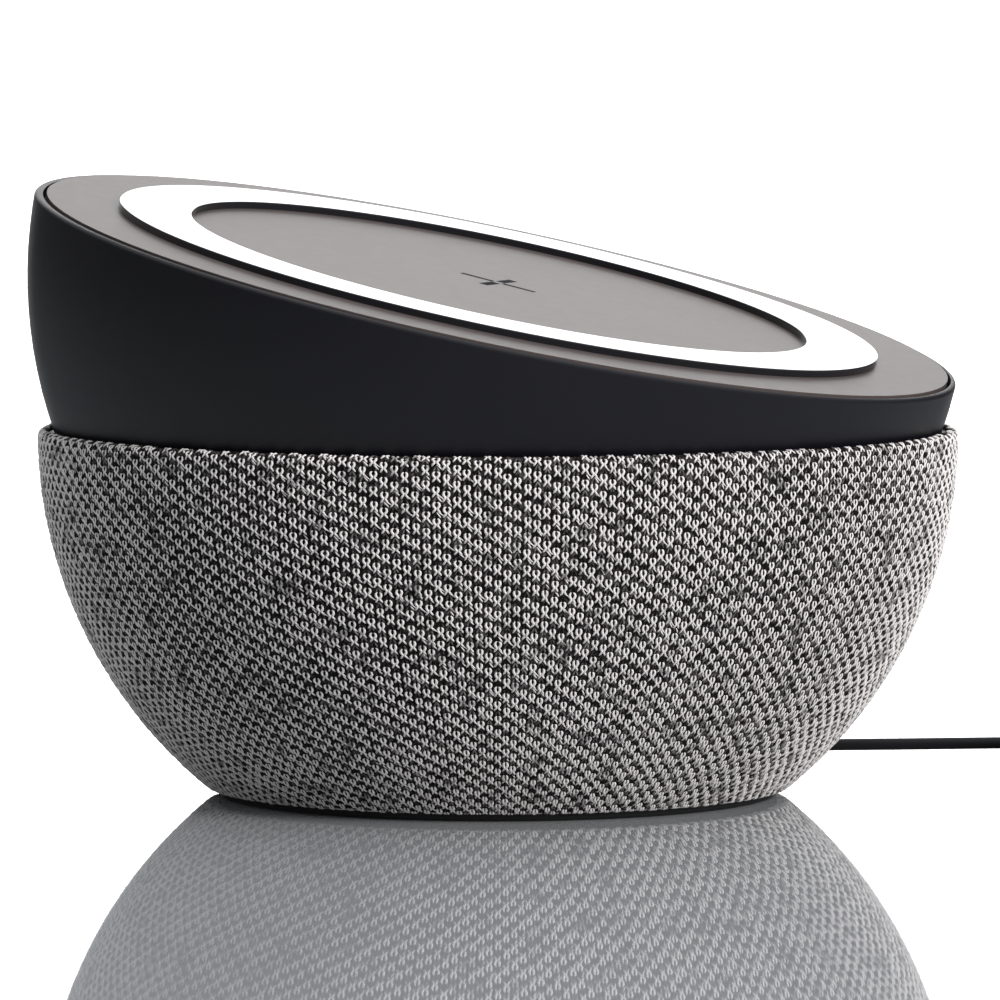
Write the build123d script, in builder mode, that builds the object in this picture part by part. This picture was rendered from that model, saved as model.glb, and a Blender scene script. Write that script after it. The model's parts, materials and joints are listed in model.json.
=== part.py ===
from build123d import *
from math import atan2, cos, degrees, pi, radians, sin, sqrt, tan
import os

# Smart home hub, in millimetres. A fabric-covered bowl holds a loudspeaker and the electronics, and a
# drum with a slanted charging face swivels on it about a vertical axis.
# Origin: centre of the base on the table. +Z up, -Y towards the front, +X to the right.

# ---- driving dimensions ----
BOWL_R = 72.4  # the fabric's outer surface is a zone of this sphere
BOWL_CENTRE_Z = 57.3
FABRIC_THICK = 1.4
FABRIC_BOTTOM_Z = 1.2
FABRIC_TOP_Z = 57.8
DRUM_R = 73.9  # the drum's outer surface is a zone of this sphere
DRUM_CENTRE_Z = 81.6
DRUM_BOTTOM_Z = 58.8  # of its floor
DRUM_SKIRT_Z = 57.4  # its wall ends inside the bowl's rim
DRUM_WALL = 2.6
FACE_Z = 80.5  # where the slanted face crosses the axis
FACE_TILT = 12.7  # degrees
LOW_SIDE_AZIMUTH = -22.0  # degrees from +X, the direction in which the face falls, at rest
PLATE_R = 72.2
PLATE_THICK = 2.0
PLATE_GAP = 0.6
RING_OUTER_R = 60.8
RING_INNER_R = 49.3
RING_HEIGHT = 1.1  # above the plate
RING_SEAT = 0.5  # sunk into the plate
MARK_REACH = 6.4
MARK_GAP = 0.8
MARK_WIDTH = 1.5
MARK_DEPTH = 0.3
FOOT_R = 43.7
FOOT_THICK = 1.2
SHELL_WALL = 2.4
PIVOT_R = 8.0
PIVOT_BORE_R = 4.0
PIVOT_CLEARANCE = 0.06
LEAD_D = 2.0
WIRE_R = 1.1

# ---- worked-out values and planes ----
SHELL_R = BOWL_R - FABRIC_THICK
SHELL_INNER_R = SHELL_R - SHELL_WALL
TILT = radians(FACE_TILT)
LOW = radians(LOW_SIDE_AZIMUTH)
FACE_NORMAL = (sin(TILT) * cos(LOW), sin(TILT) * sin(LOW), cos(TILT))
DOWNHILL = (cos(TILT) * cos(LOW), cos(TILT) * sin(LOW), -sin(TILT))
FACE = Plane(origin=(0, 0, FACE_Z), x_dir=DOWNHILL, z_dir=FACE_NORMAL)


def sphere_r(radius, centre_z, z):
    """Radius of a sphere's circle at height z."""
    return sqrt(radius**2 - (z - centre_z) ** 2)


def arc_points(radius, centre_z, z_from, z_to):
    """Three points on a sphere's outline in the XZ plane, for a ThreePointArc."""
    z_mid = (z_from + z_to) / 2
    return [(sphere_r(radius, centre_z, z), z) for z in (z_from, z_mid, z_to)]


def ring_of_circles(plane, ring_r, count, first_angle, radius):
    """A sketch of equal circles spaced evenly round a ring."""
    with BuildSketch(plane) as circles:
        with PolarLocations(ring_r, count, start_angle=first_angle):
            Circle(radius)
    return circles.sketch


def save(part, label):
    """Labels a finished piece and writes it as its own STEP file."""
    part.label = label
    export_step(part, f"parts/{label}.step")


os.makedirs("parts", exist_ok=True)

# ---- foot pad, base plate and ballast ----
SHELL_BOTTOM_Z = 2.4
PLUG_TOP_Z = 4.4
BASE_PLATE_R = 43.5
FLANGE_INNER_R = 36.0
FIT_GAP = 0.2
SCREW_HEAD_R = 2.2
SCREW_HEAD_H = 1.0
SCREW_SHANK_R = 1.1
HOLE_GAP = 0.1
BASE_SCREWS = (39.5, 4, 20.0)  # ring radius, count and first angle
BOARD_SCREWS = (29.0, 4, 45.0)
STANDOFF_R = 2.6
BASE_HEAD_H = 0.6
BOARD_Z = 9.0
BOARD_THICK = 1.2
BOARD_R = 35.0
BALLAST_R = 23.5
BALLAST_THICK = 3.4

with BuildPart() as foot_pad:
    with BuildSketch():
        Circle(FOOT_R)
    extrude(amount=FOOT_THICK)
    fillet(foot_pad.edges().group_by(Axis.Z)[0], radius=0.4)
save(foot_pad.part, "foot_pad")

with BuildPart() as base_plate:
    with BuildSketch(Plane.XY.offset(FOOT_THICK)):
        Circle(BASE_PLATE_R)
    extrude(amount=SHELL_BOTTOM_Z - FOOT_THICK)
    with BuildSketch(Plane.XY.offset(SHELL_BOTTOM_Z)):
        Circle(FLANGE_INNER_R - FIT_GAP)
    extrude(amount=PLUG_TOP_Z - SHELL_BOTTOM_Z)
    extrude(
        ring_of_circles(Plane.XY.offset(PLUG_TOP_Z), *BOARD_SCREWS, STANDOFF_R),
        amount=BOARD_Z - PLUG_TOP_Z,
    )
    extrude(
        ring_of_circles(Plane.XY.offset(BOARD_Z), *BOARD_SCREWS, SCREW_SHANK_R),
        amount=-(BOARD_Z - PLUG_TOP_Z),
        mode=Mode.SUBTRACT,
    )
    extrude(
        ring_of_circles(Plane.XY.offset(FOOT_THICK), *BASE_SCREWS, SCREW_HEAD_R + HOLE_GAP),
        amount=BASE_HEAD_H,
        mode=Mode.SUBTRACT,
    )
    extrude(
        ring_of_circles(Plane.XY.offset(FOOT_THICK), *BASE_SCREWS, SCREW_SHANK_R + HOLE_GAP),
        amount=SHELL_BOTTOM_Z,
        mode=Mode.SUBTRACT,
    )
save(base_plate.part, "base_plate")

with BuildPart() as base_screws:
    extrude(ring_of_circles(Plane.XY.offset(FOOT_THICK), *BASE_SCREWS, SCREW_HEAD_R), amount=BASE_HEAD_H)
    extrude(ring_of_circles(Plane.XY.offset(FOOT_THICK), *BASE_SCREWS, SCREW_SHANK_R), amount=5.8)
save(base_screws.part, "base_screws")

with BuildPart() as ballast_plate:
    with BuildSketch(Plane.XY.offset(PLUG_TOP_Z)):
        Circle(BALLAST_R)
    extrude(amount=BALLAST_THICK)
    chamfer(ballast_plate.edges().group_by(Axis.Z)[-1], length=0.5)
save(ballast_plate.part, "ballast_plate")

# ---- bowl shell: a slotted zone of a sphere, flanged at the bottom and ledged under the deck ----
SHELL_TOP_Z = 55.0
LEDGE_Z = 52.4
DECK_Z = 54.6
DECK_R = 66.6
LEDGE_INNER_R = 59.0
DECK_SCREWS = (62.5, 6, 30.0)
BOSS_R = 3.1
BOSS_DEPTH = 6.0
SLOT_COUNT = 30
SLOT_WIDTH = 3.2
SLOT_LOW_Z = 16.0
SLOT_HIGH_Z = 46.0
SLOT_CUT = 30.0
GLAND_AZIMUTH = radians(60.0)  # the power lead leaves at the rear, to the right
GLAND_DROP = radians(20.0)  # and points down by this much
GLAND_RADIUS = 50.0
GLAND_Z = 7.5
GLAND_HOLE_R = 2.75
GLAND = Plane(
    origin=(GLAND_RADIUS * cos(GLAND_AZIMUTH), GLAND_RADIUS * sin(GLAND_AZIMUTH), GLAND_Z),
    x_dir=(-sin(GLAND_AZIMUTH), cos(GLAND_AZIMUTH), 0),
    z_dir=(
        cos(GLAND_DROP) * cos(GLAND_AZIMUTH),
        cos(GLAND_DROP) * sin(GLAND_AZIMUTH),
        -sin(GLAND_DROP),
    ),
)

with BuildPart() as bowl_shell:
    with BuildSketch(Plane.XZ):
        with BuildLine():
            outer = arc_points(SHELL_R, BOWL_CENTRE_Z, SHELL_BOTTOM_Z, SHELL_TOP_Z)
            inner = arc_points(SHELL_INNER_R, BOWL_CENTRE_Z, LEDGE_Z, PLUG_TOP_Z)
            ThreePointArc(*outer)
            Polyline(
                outer[-1],
                (DECK_R + FIT_GAP, SHELL_TOP_Z),
                (DECK_R + FIT_GAP, DECK_Z),
                (LEDGE_INNER_R, DECK_Z),
                (LEDGE_INNER_R, LEDGE_Z),
                inner[0],
            )
            ThreePointArc(*inner)
            Polyline(inner[-1], (FLANGE_INNER_R, PLUG_TOP_Z), (FLANGE_INNER_R, SHELL_BOTTOM_Z), outer[0])
        make_face()
    revolve(axis=Axis.Z)
    extrude(ring_of_circles(Plane.XY.offset(PLUG_TOP_Z), *BASE_SCREWS, STANDOFF_R), amount=3.6)
    extrude(ring_of_circles(Plane.XY.offset(LEDGE_Z), *DECK_SCREWS, BOSS_R), amount=-BOSS_DEPTH)
    with PolarLocations(SHELL_R, SLOT_COUNT, start_angle=180 / SLOT_COUNT):
        with Locations((0, 0, (SLOT_LOW_Z + SLOT_HIGH_Z) / 2)):
            Box(SLOT_CUT, SLOT_WIDTH, SLOT_HIGH_Z - SLOT_LOW_Z, mode=Mode.SUBTRACT)
    extrude(
        ring_of_circles(Plane.XY.offset(SHELL_BOTTOM_Z), *BASE_SCREWS, SCREW_SHANK_R),
        amount=5.0,
        mode=Mode.SUBTRACT,
    )
    extrude(
        ring_of_circles(Plane.XY.offset(DECK_Z), *DECK_SCREWS, SCREW_SHANK_R),
        amount=-BOSS_DEPTH,
        mode=Mode.SUBTRACT,
    )
    with BuildSketch(GLAND.offset(-8)):
        Circle(GLAND_HOLE_R)
    extrude(amount=16, mode=Mode.SUBTRACT)
save(bowl_shell.part, "bowl_shell")

# ---- fabric sleeve: the knit skin over the bowl, turned in at the foot and rolled over the rim ----
HEM_INNER_R = 43.7
RIM_INNER_R = 70.6
ROLL_R = 1.2
with BuildPart() as fabric_sleeve:
    with BuildSketch(Plane.XZ):
        with BuildLine():
            skin = arc_points(BOWL_R, BOWL_CENTRE_Z, FABRIC_BOTTOM_Z, FABRIC_TOP_Z)
            lining = arc_points(SHELL_R, BOWL_CENTRE_Z, SHELL_TOP_Z, SHELL_BOTTOM_Z)
            ThreePointArc(*skin)
            Polyline(skin[-1], (RIM_INNER_R, FABRIC_TOP_Z), (RIM_INNER_R, SHELL_TOP_Z), lining[0])
            ThreePointArc(*lining)
            Polyline(lining[-1], (HEM_INNER_R, SHELL_BOTTOM_Z), (HEM_INNER_R, FABRIC_BOTTOM_Z), skin[0])
        make_face()
    revolve(axis=Axis.Z)
    fillet(fabric_sleeve.edges().group_by(Axis.Z)[-1].sort_by(SortBy.RADIUS)[-1], radius=ROLL_R)
    with BuildSketch(GLAND.offset(-8)):
        Circle(GLAND_HOLE_R)
    extrude(amount=16, mode=Mode.SUBTRACT)
save(fabric_sleeve.part, "fabric_sleeve")

RIM_RING_INNER_R = 67.0
RIM_RING_TOP_Z = 57.0
with BuildPart() as rim_ring:
    with BuildSketch(Plane.XY.offset(SHELL_TOP_Z)):
        Circle(RIM_INNER_R)
        Circle(RIM_RING_INNER_R, mode=Mode.SUBTRACT)
    extrude(amount=RIM_RING_TOP_Z - SHELL_TOP_Z)
save(rim_ring.part, "rim_ring")

# ---- main board and what is on it ----
BOARD_TOP_Z = BOARD_Z + BOARD_THICK
CAN_HEIGHT = 1.8
CANS = [(10, -13, 15, 12), (-13, -10, 14, 12)]  # x, y, width, length
CHIPS = [  # x, y, width, length, height
    (-12, 8, 9, 9, 1.2),
    (5, 12, 7, 5, 1.0),
    (-3, -27, 8, 5, 1.4),
    (26, -3, 5, 8, 1.2),
    (-27, 2, 5, 4, 1.6),
    (0, 0, 6, 6, 4.0),
]
PAD_HEADER_TOP_Z = BOARD_TOP_Z + 4.0
with BuildPart() as main_board:
    with BuildSketch(Plane.XY.offset(BOARD_Z)):
        Circle(BOARD_R)
    extrude(amount=BOARD_THICK)
    extrude(
        ring_of_circles(Plane.XY.offset(BOARD_Z), *BOARD_SCREWS, SCREW_SHANK_R + HOLE_GAP),
        amount=BOARD_THICK,
        mode=Mode.SUBTRACT,
    )
save(main_board.part, "main_board")

with BuildPart() as board_screws:
    extrude(ring_of_circles(Plane.XY.offset(BOARD_TOP_Z), *BOARD_SCREWS, SCREW_HEAD_R), amount=SCREW_HEAD_H)
    extrude(ring_of_circles(Plane.XY.offset(BOARD_TOP_Z), *BOARD_SCREWS, SCREW_SHANK_R), amount=-4.8)
save(board_screws.part, "board_screws")

with BuildPart() as board_chips:
    for chip_x, chip_y, chip_w, chip_l, chip_h in CHIPS:
        with Locations((chip_x, chip_y, BOARD_TOP_Z + chip_h / 2)):
            Box(chip_w, chip_l, chip_h)
save(board_chips.part, "board_chips")

with BuildPart() as shield_cans:
    for can_x, can_y, can_w, can_l in CANS:
        with Locations((can_x, can_y, BOARD_TOP_Z + CAN_HEIGHT / 2)):
            Box(can_w, can_l, CAN_HEIGHT)
    fillet(shield_cans.edges().filter_by(Axis.Z), radius=1.0)
save(shield_cans.part, "shield_cans")

# The power header stands on the board where the lead's inner wire reaches it.
HEADER_RADIUS = 30.0
HEADER_SIZE = (7.0, 8.0, 5.4)
with BuildPart() as power_header:
    with Locations(
        Location(
            (
                HEADER_RADIUS * cos(GLAND_AZIMUTH),
                HEADER_RADIUS * sin(GLAND_AZIMUTH),
                BOARD_TOP_Z + HEADER_SIZE[2] / 2,
            ),
            (0, 0, degrees(GLAND_AZIMUTH)),
        )
    ):
        Box(*HEADER_SIZE)
save(power_header.part, "power_header")

# ---- boards clipped inside the bowl ----
ANTENNA_SPOTS = [(49.0, 22.0, 24.0), (-49.0, 22.0, -24.0)]  # x, y, turn in degrees
ANTENNA_SIZE = (1.0, 22.0, 16.0)
ANTENNA_Z = 34.0
with BuildPart() as antenna_boards:
    for spot_x, spot_y, turn in ANTENNA_SPOTS:
        with Locations(Location((spot_x, spot_y, ANTENNA_Z), (0, 0, turn))):
            Box(*ANTENNA_SIZE)
save(antenna_boards.part, "antenna_boards")

MICROPHONE_SIZE = (1.0, 12.0, 7.0)
MICROPHONE_RADIUS = 56.5
MICROPHONE_Z = 45.0
with BuildPart() as microphone_boards:
    with PolarLocations(MICROPHONE_RADIUS, 3, start_angle=-150):
        with Locations((0, 0, MICROPHONE_Z)):
            Box(*MICROPHONE_SIZE)
save(microphone_boards.part, "microphone_boards")

# ---- loudspeaker, facing the front, in its sealed box ----
BOX_WIDTH = 54.0
BOX_FRONT_Y = -42.0
BOX_BACK_Y = -12.0
BOX_LOW_Z = 12.6
BOX_HIGH_Z = 51.4
BOX_WALL = 2.0
BOX_CORNER_R = 4.0
LID_THICK = 2.0
DRIVER_HOLE_R = 15.6
FLANGE_R = 18.6
FLANGE_THICK = 1.4
CONE_R = 13.0
SPEAKER_SCREWS = (17.1, 4, 45.0)
SPEAKER_SHANK_R = 0.7
BOX_CENTRE_Z = (BOX_LOW_Z + BOX_HIGH_Z) / 2
BOX_HEIGHT = BOX_HIGH_Z - BOX_LOW_Z
# Driver outlines have x as the radius and y as the distance in front of the box.
DRIVER = Plane(origin=(0, BOX_FRONT_Y, BOX_CENTRE_Z), x_dir=(1, 0, 0), z_dir=(0, 0, -1))
DRIVER_FRONT = Plane(origin=(0, BOX_FRONT_Y, BOX_CENTRE_Z), x_dir=(1, 0, 0), z_dir=(0, -1, 0))
DRIVER_AXIS = Axis((0, BOX_FRONT_Y, BOX_CENTRE_Z), (0, -1, 0))

with BuildPart() as speaker_box:
    with Locations((0, (BOX_FRONT_Y + BOX_BACK_Y - LID_THICK) / 2, BOX_CENTRE_Z)):
        Box(BOX_WIDTH, BOX_BACK_Y - LID_THICK - BOX_FRONT_Y, BOX_HEIGHT)
    fillet(speaker_box.edges().filter_by(Axis.Y), radius=BOX_CORNER_R)
    offset(amount=-BOX_WALL, openings=speaker_box.faces().sort_by(Axis.Y)[-1])
    with BuildSketch(DRIVER_FRONT.offset(-BOX_WALL - 1)):
        Circle(DRIVER_HOLE_R)
    extrude(amount=BOX_WALL + 2, mode=Mode.SUBTRACT)
    extrude(
        ring_of_circles(DRIVER_FRONT, *SPEAKER_SCREWS, SPEAKER_SHANK_R),
        amount=-BOX_WALL - 1,
        mode=Mode.SUBTRACT,
    )
save(speaker_box.part, "speaker_box")

with BuildPart() as speaker_box_lid:
    with Locations((0, BOX_BACK_Y - LID_THICK / 2, BOX_CENTRE_Z)):
        Box(BOX_WIDTH, LID_THICK, BOX_HEIGHT)
    fillet(speaker_box_lid.edges().filter_by(Axis.Y), radius=BOX_CORNER_R)
save(speaker_box_lid.part, "speaker_box_lid")

with BuildPart() as speaker_basket:
    with BuildSketch(DRIVER):
        with BuildLine():
            Polyline(
                (FLANGE_R, 0.0),
                (FLANGE_R, FLANGE_THICK),
                (14.4, FLANGE_THICK),
                (14.4, -2.0),
                (10.0, -9.8),
                (6.4, -9.8),
                (6.4, -11.0),
                (10.6, -11.0),
                (15.4, -2.4),
                (15.4, 0.0),
                close=True,
            )
        make_face()
    revolve(axis=DRIVER_AXIS)
    extrude(
        ring_of_circles(DRIVER_FRONT, *SPEAKER_SCREWS, SPEAKER_SHANK_R),
        amount=FLANGE_THICK,
        mode=Mode.SUBTRACT,
    )
save(speaker_basket.part, "speaker_basket")

with BuildPart() as speaker_surround:
    with BuildSketch(DRIVER):
        with BuildLine():
            ThreePointArc((CONE_R + 0.3, FLANGE_THICK), (14.4, 2.6), (15.5, FLANGE_THICK))
            Line((15.5, FLANGE_THICK), (15.1, FLANGE_THICK))
            ThreePointArc((15.1, FLANGE_THICK), (14.4, 2.2), (CONE_R + 0.7, FLANGE_THICK))
            Line((CONE_R + 0.7, FLANGE_THICK), (CONE_R + 0.3, FLANGE_THICK))
        make_face()
    revolve(axis=DRIVER_AXIS)
save(speaker_surround.part, "speaker_surround")

MAGNET_R = 12.0
MAGNET_FRONT = -11.0
MAGNET_BACK = -18.0
POLE_R = 4.0
with BuildPart() as speaker_magnet:
    with BuildSketch(DRIVER_FRONT.offset(MAGNET_FRONT)):
        Circle(MAGNET_R)
        Circle(6.4, mode=Mode.SUBTRACT)
    extrude(amount=MAGNET_BACK - MAGNET_FRONT)
save(speaker_magnet.part, "speaker_magnet")

with BuildPart() as speaker_yoke:
    with BuildSketch(DRIVER_FRONT.offset(MAGNET_BACK)):
        Circle(MAGNET_R)
    extrude(amount=-2.0)
    with BuildSketch(DRIVER_FRONT.offset(MAGNET_BACK)):
        Circle(POLE_R)
    extrude(amount=8.6)
save(speaker_yoke.part, "speaker_yoke")

with BuildPart() as speaker_screws:
    extrude(ring_of_circles(DRIVER_FRONT.offset(FLANGE_THICK), *SPEAKER_SCREWS, 1.3), amount=0.8)
    extrude(ring_of_circles(DRIVER_FRONT.offset(FLANGE_THICK), *SPEAKER_SCREWS, SPEAKER_SHANK_R), amount=-3.6)
save(speaker_screws.part, "speaker_screws")

with BuildPart() as speaker_cone:
    with BuildSketch(DRIVER):
        with BuildLine():
            Polyline(
                (5.2, -5.0),
                (5.7, -5.0),
                (CONE_R, 1.0),
                (CONE_R, 1.6),
                (12.4, 1.6),
                (5.2, -4.2),
                close=True,
            )
        make_face()
    revolve(axis=DRIVER_AXIS)
save(speaker_cone.part, "speaker_cone")

CAP_R = 5.2
CAP_FRONT = -2.5
CAP_EDGE = -4.2
CAP_BACK = -4.8
CAP_RISE = CAP_FRONT - CAP_EDGE
CAP_SPHERE_R = (CAP_R**2 + CAP_RISE**2) / (2 * CAP_RISE)
CAP_MIDDLE = CAP_FRONT - CAP_SPHERE_R + sqrt(CAP_SPHERE_R**2 - CAP_R**2 / 4)
with BuildPart() as dust_cap:
    with BuildSketch(DRIVER):
        with BuildLine():
            Polyline((0, CAP_FRONT), (0, CAP_BACK), (CAP_R, CAP_BACK), (CAP_R, CAP_EDGE))
            ThreePointArc((CAP_R, CAP_EDGE), (CAP_R / 2, CAP_MIDDLE), (0, CAP_FRONT))
        make_face()
    revolve(axis=DRIVER_AXIS)
save(dust_cap.part, "dust_cap")

with BuildPart() as voice_coil:
    with BuildSketch(DRIVER_FRONT.offset(-5.0)):
        Circle(5.6)
        Circle(4.6, mode=Mode.SUBTRACT)
    extrude(amount=-9.0)
save(voice_coil.part, "voice_coil")

# ---- top deck with the hollow pivot post ----
DECK_TOP_Z = 57.0
GLIDE_OUTER_R = 54.0
GLIDE_INNER_R = 50.0
GLIDE_SEAT_Z = 56.4
GLIDE_TOP_Z = 58.75
HUB_TOP_Z = 63.0
HUB_R = 13.0
POST_TOP_Z = 66.0
CLIP_Z = 63.15
CLIP_THICK = 1.0
CLIP_R = 11.0
GROOVE_R = 7.1
GROOVE_Z = 63.1
GROOVE_HEIGHT = 1.1
STOP_RING_R = 20.0
STOP_PIN_R = 1.5
STOP_PIN_TOP_Z = 58.5

with BuildPart() as top_deck:
    with BuildSketch(Plane.XY.offset(DECK_Z)):
        Circle(DECK_R)
    extrude(amount=DECK_TOP_Z - DECK_Z)
    with BuildSketch(Plane.XY.offset(DECK_TOP_Z)):
        Circle(PIVOT_R)
    extrude(amount=POST_TOP_Z - DECK_TOP_Z)
    with BuildSketch(Plane.XY.offset(DECK_Z)):
        Circle(PIVOT_BORE_R)
    extrude(amount=POST_TOP_Z - DECK_Z, mode=Mode.SUBTRACT)
    with BuildSketch(Plane.XY.offset(GROOVE_Z)):
        Circle(PIVOT_R)
        Circle(GROOVE_R, mode=Mode.SUBTRACT)
    extrude(amount=GROOVE_HEIGHT, mode=Mode.SUBTRACT)
    with BuildSketch(Plane.XY.offset(GLIDE_SEAT_Z)):
        Circle(GLIDE_OUTER_R)
        Circle(GLIDE_INNER_R, mode=Mode.SUBTRACT)
    extrude(amount=DECK_TOP_Z - GLIDE_SEAT_Z, mode=Mode.SUBTRACT)
    with BuildSketch(Plane.XY.offset(DECK_Z)):
        with Locations((0, STOP_RING_R)):
            Circle(STOP_PIN_R)
    extrude(amount=DECK_TOP_Z - DECK_Z, mode=Mode.SUBTRACT)
    extrude(
        ring_of_circles(Plane.XY.offset(DECK_Z), *DECK_SCREWS, SCREW_SHANK_R + HOLE_GAP),
        amount=DECK_TOP_Z - DECK_Z,
        mode=Mode.SUBTRACT,
    )
    extrude(
        ring_of_circles(Plane.XY.offset(DECK_TOP_Z), *DECK_SCREWS, SCREW_HEAD_R + HOLE_GAP),
        amount=-SCREW_HEAD_H,
        mode=Mode.SUBTRACT,
    )
save(top_deck.part, "top_deck")

with BuildPart() as deck_screws:
    extrude(ring_of_circles(Plane.XY.offset(DECK_TOP_Z), *DECK_SCREWS, SCREW_HEAD_R), amount=-SCREW_HEAD_H)
    extrude(ring_of_circles(Plane.XY.offset(DECK_TOP_Z), *DECK_SCREWS, SCREW_SHANK_R), amount=-7.5)
save(deck_screws.part, "deck_screws")

with BuildPart() as glide_ring:
    with BuildSketch(Plane.XY.offset(GLIDE_SEAT_Z)):
        Circle(GLIDE_OUTER_R)
        Circle(GLIDE_INNER_R, mode=Mode.SUBTRACT)
    extrude(amount=GLIDE_TOP_Z - GLIDE_SEAT_Z)
save(glide_ring.part, "glide_ring")

with BuildPart() as retaining_clip:
    with BuildSketch(Plane.XY.offset(CLIP_Z)):
        Circle(CLIP_R)
        Circle(GROOVE_R, mode=Mode.SUBTRACT)
        with Locations((-CLIP_R, 0)):
            Rectangle(2 * CLIP_R - 6, 8.0, mode=Mode.SUBTRACT)
    extrude(amount=CLIP_THICK)
save(retaining_clip.part, "retaining_clip")

with BuildPart() as stop_pin:
    with BuildSketch(Plane.XY.offset(DECK_Z)):
        with Locations((0, STOP_RING_R)):
            Circle(STOP_PIN_R)
    extrude(amount=STOP_PIN_TOP_Z - DECK_Z)
save(stop_pin.part, "stop_pin")

LEAD_JOIN_Z = 64.0
with BuildPart() as charge_lead_lower:
    with BuildSketch(Plane.XY.offset(PAD_HEADER_TOP_Z)):
        Circle(WIRE_R)
    extrude(amount=LEAD_JOIN_Z - PAD_HEADER_TOP_Z)
save(charge_lead_lower.part, "charge_lead_lower")

# ---- drum shell: a zone of a sphere cut by the slanted face ----
DRUM_INNER_R = DRUM_R - DRUM_WALL
FLOOR_THICK = 1.8
FLOOR_R = 67.0
DRUM_FLANGE_Z = DRUM_BOTTOM_Z + FLOOR_THICK + 0.1
DRUM_FLANGE_THICK = 1.8
DRUM_FLANGE_TOP_Z = DRUM_FLANGE_Z + DRUM_FLANGE_THICK
DRUM_FLANGE_INNER_R = 61.0
DRUM_TALL_Z = 100.0
DRUM_SCREWS = (64.0, 6, LOW_SIDE_AZIMUTH + 30.0)
DRUM_BOSS_H = 2.6
PLATE_SEAT = PLATE_THICK + 0.05
LIP_FILLET = 0.6
LIP_DROP = 0.3  # the lip stands that much lower than the plate

with BuildPart() as drum_shell:
    with BuildSketch(Plane.XZ):
        with BuildLine():
            outside = arc_points(DRUM_R, DRUM_CENTRE_Z, DRUM_SKIRT_Z, DRUM_TALL_Z)
            inside = arc_points(DRUM_INNER_R, DRUM_CENTRE_Z, DRUM_TALL_Z, DRUM_FLANGE_TOP_Z)
            floor_edge_r = sphere_r(DRUM_INNER_R, DRUM_CENTRE_Z, DRUM_BOTTOM_Z)
            ThreePointArc(*outside)
            Line(outside[-1], inside[0])
            ThreePointArc(*inside)
            Polyline(
                inside[-1],
                (DRUM_FLANGE_INNER_R, DRUM_FLANGE_TOP_Z),
                (DRUM_FLANGE_INNER_R, DRUM_FLANGE_Z),
                (floor_edge_r, DRUM_FLANGE_Z),
                (floor_edge_r, DRUM_SKIRT_Z),
                outside[0],
            )
        make_face()
    revolve(axis=Axis.Z)
    extrude(ring_of_circles(Plane.XY.offset(DRUM_FLANGE_TOP_Z), *DRUM_SCREWS, STANDOFF_R), amount=DRUM_BOSS_H)
    split(bisect_by=FACE.offset(-LIP_DROP), keep=Keep.BOTTOM)
    with BuildSketch(FACE):
        Circle(PLATE_R + PLATE_GAP)
    extrude(amount=-PLATE_SEAT, mode=Mode.SUBTRACT)
    fillet(
        drum_shell.edges().filter_by(GeomType.CIRCLE).filter_by(lambda e: abs(e.radius - DRUM_R) < 0.3),
        radius=LIP_FILLET,
    )
    extrude(
        ring_of_circles(Plane.XY.offset(DRUM_FLANGE_Z), *DRUM_SCREWS, SCREW_SHANK_R),
        amount=4.0,
        mode=Mode.SUBTRACT,
    )
save(drum_shell.part, "drum_shell")

TAB_LENGTH = 5.0
TAB_WIDTH = 3.6
TAB_BOTTOM_Z = 57.4
with BuildPart() as drum_floor:
    with BuildSketch(Plane.XY.offset(DRUM_BOTTOM_Z)):
        Circle(FLOOR_R)
    extrude(amount=FLOOR_THICK)
    with BuildSketch(Plane.XY.offset(DRUM_BOTTOM_Z)):
        Circle(HUB_R)
    extrude(amount=HUB_TOP_Z - DRUM_BOTTOM_Z)
    with BuildSketch(Plane.XY.offset(TAB_BOTTOM_Z)):
        with PolarLocations(STOP_RING_R, 1, start_angle=LOW_SIDE_AZIMUTH):
            Rectangle(TAB_LENGTH, TAB_WIDTH)
    extrude(amount=DRUM_BOTTOM_Z - TAB_BOTTOM_Z)
    with BuildSketch(Plane.XY.offset(DRUM_BOTTOM_Z)):
        Circle(PIVOT_R + PIVOT_CLEARANCE)
    extrude(amount=HUB_TOP_Z - DRUM_BOTTOM_Z, mode=Mode.SUBTRACT)
    extrude(
        ring_of_circles(Plane.XY.offset(DRUM_BOTTOM_Z), *DRUM_SCREWS, SCREW_SHANK_R + HOLE_GAP),
        amount=FLOOR_THICK,
        mode=Mode.SUBTRACT,
    )
    extrude(
        ring_of_circles(Plane.XY.offset(DRUM_BOTTOM_Z), *DRUM_SCREWS, SCREW_HEAD_R + HOLE_GAP),
        amount=SCREW_HEAD_H,
        mode=Mode.SUBTRACT,
    )
save(drum_floor.part, "drum_floor")

with BuildPart() as drum_screws:
    extrude(ring_of_circles(Plane.XY.offset(DRUM_BOTTOM_Z), *DRUM_SCREWS, SCREW_HEAD_R), amount=SCREW_HEAD_H)
    extrude(ring_of_circles(Plane.XY.offset(DRUM_BOTTOM_Z), *DRUM_SCREWS, SCREW_SHANK_R), amount=5.6)
save(drum_screws.part, "drum_screws")

# ---- slanted face: plate, raised ring and charging mark ----
CARRIER_SCREWS = (32.0, 4, 0.0)
CARRIER_BOSS_R = 2.6
COIL_OUTER_R = 22.0
COIL_INNER_R = 10.5
COIL_THICK = 1.4
FERRITE_R = 25.0
FERRITE_THICK = 0.7
CARRIER_R = 29.0
CARRIER_RIM_R = 26.0
CARRIER_THICK = 1.8
COIL_DEPTH = PLATE_THICK
FERRITE_DEPTH = COIL_DEPTH + COIL_THICK
CARRIER_DEPTH = FERRITE_DEPTH + FERRITE_THICK
TRAY_BOTTOM = CARRIER_DEPTH + CARRIER_THICK
SMALL_SHANK_R = 0.9
SMALL_HEAD_R = 1.8
SMALL_HEAD_H = 0.9


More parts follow.
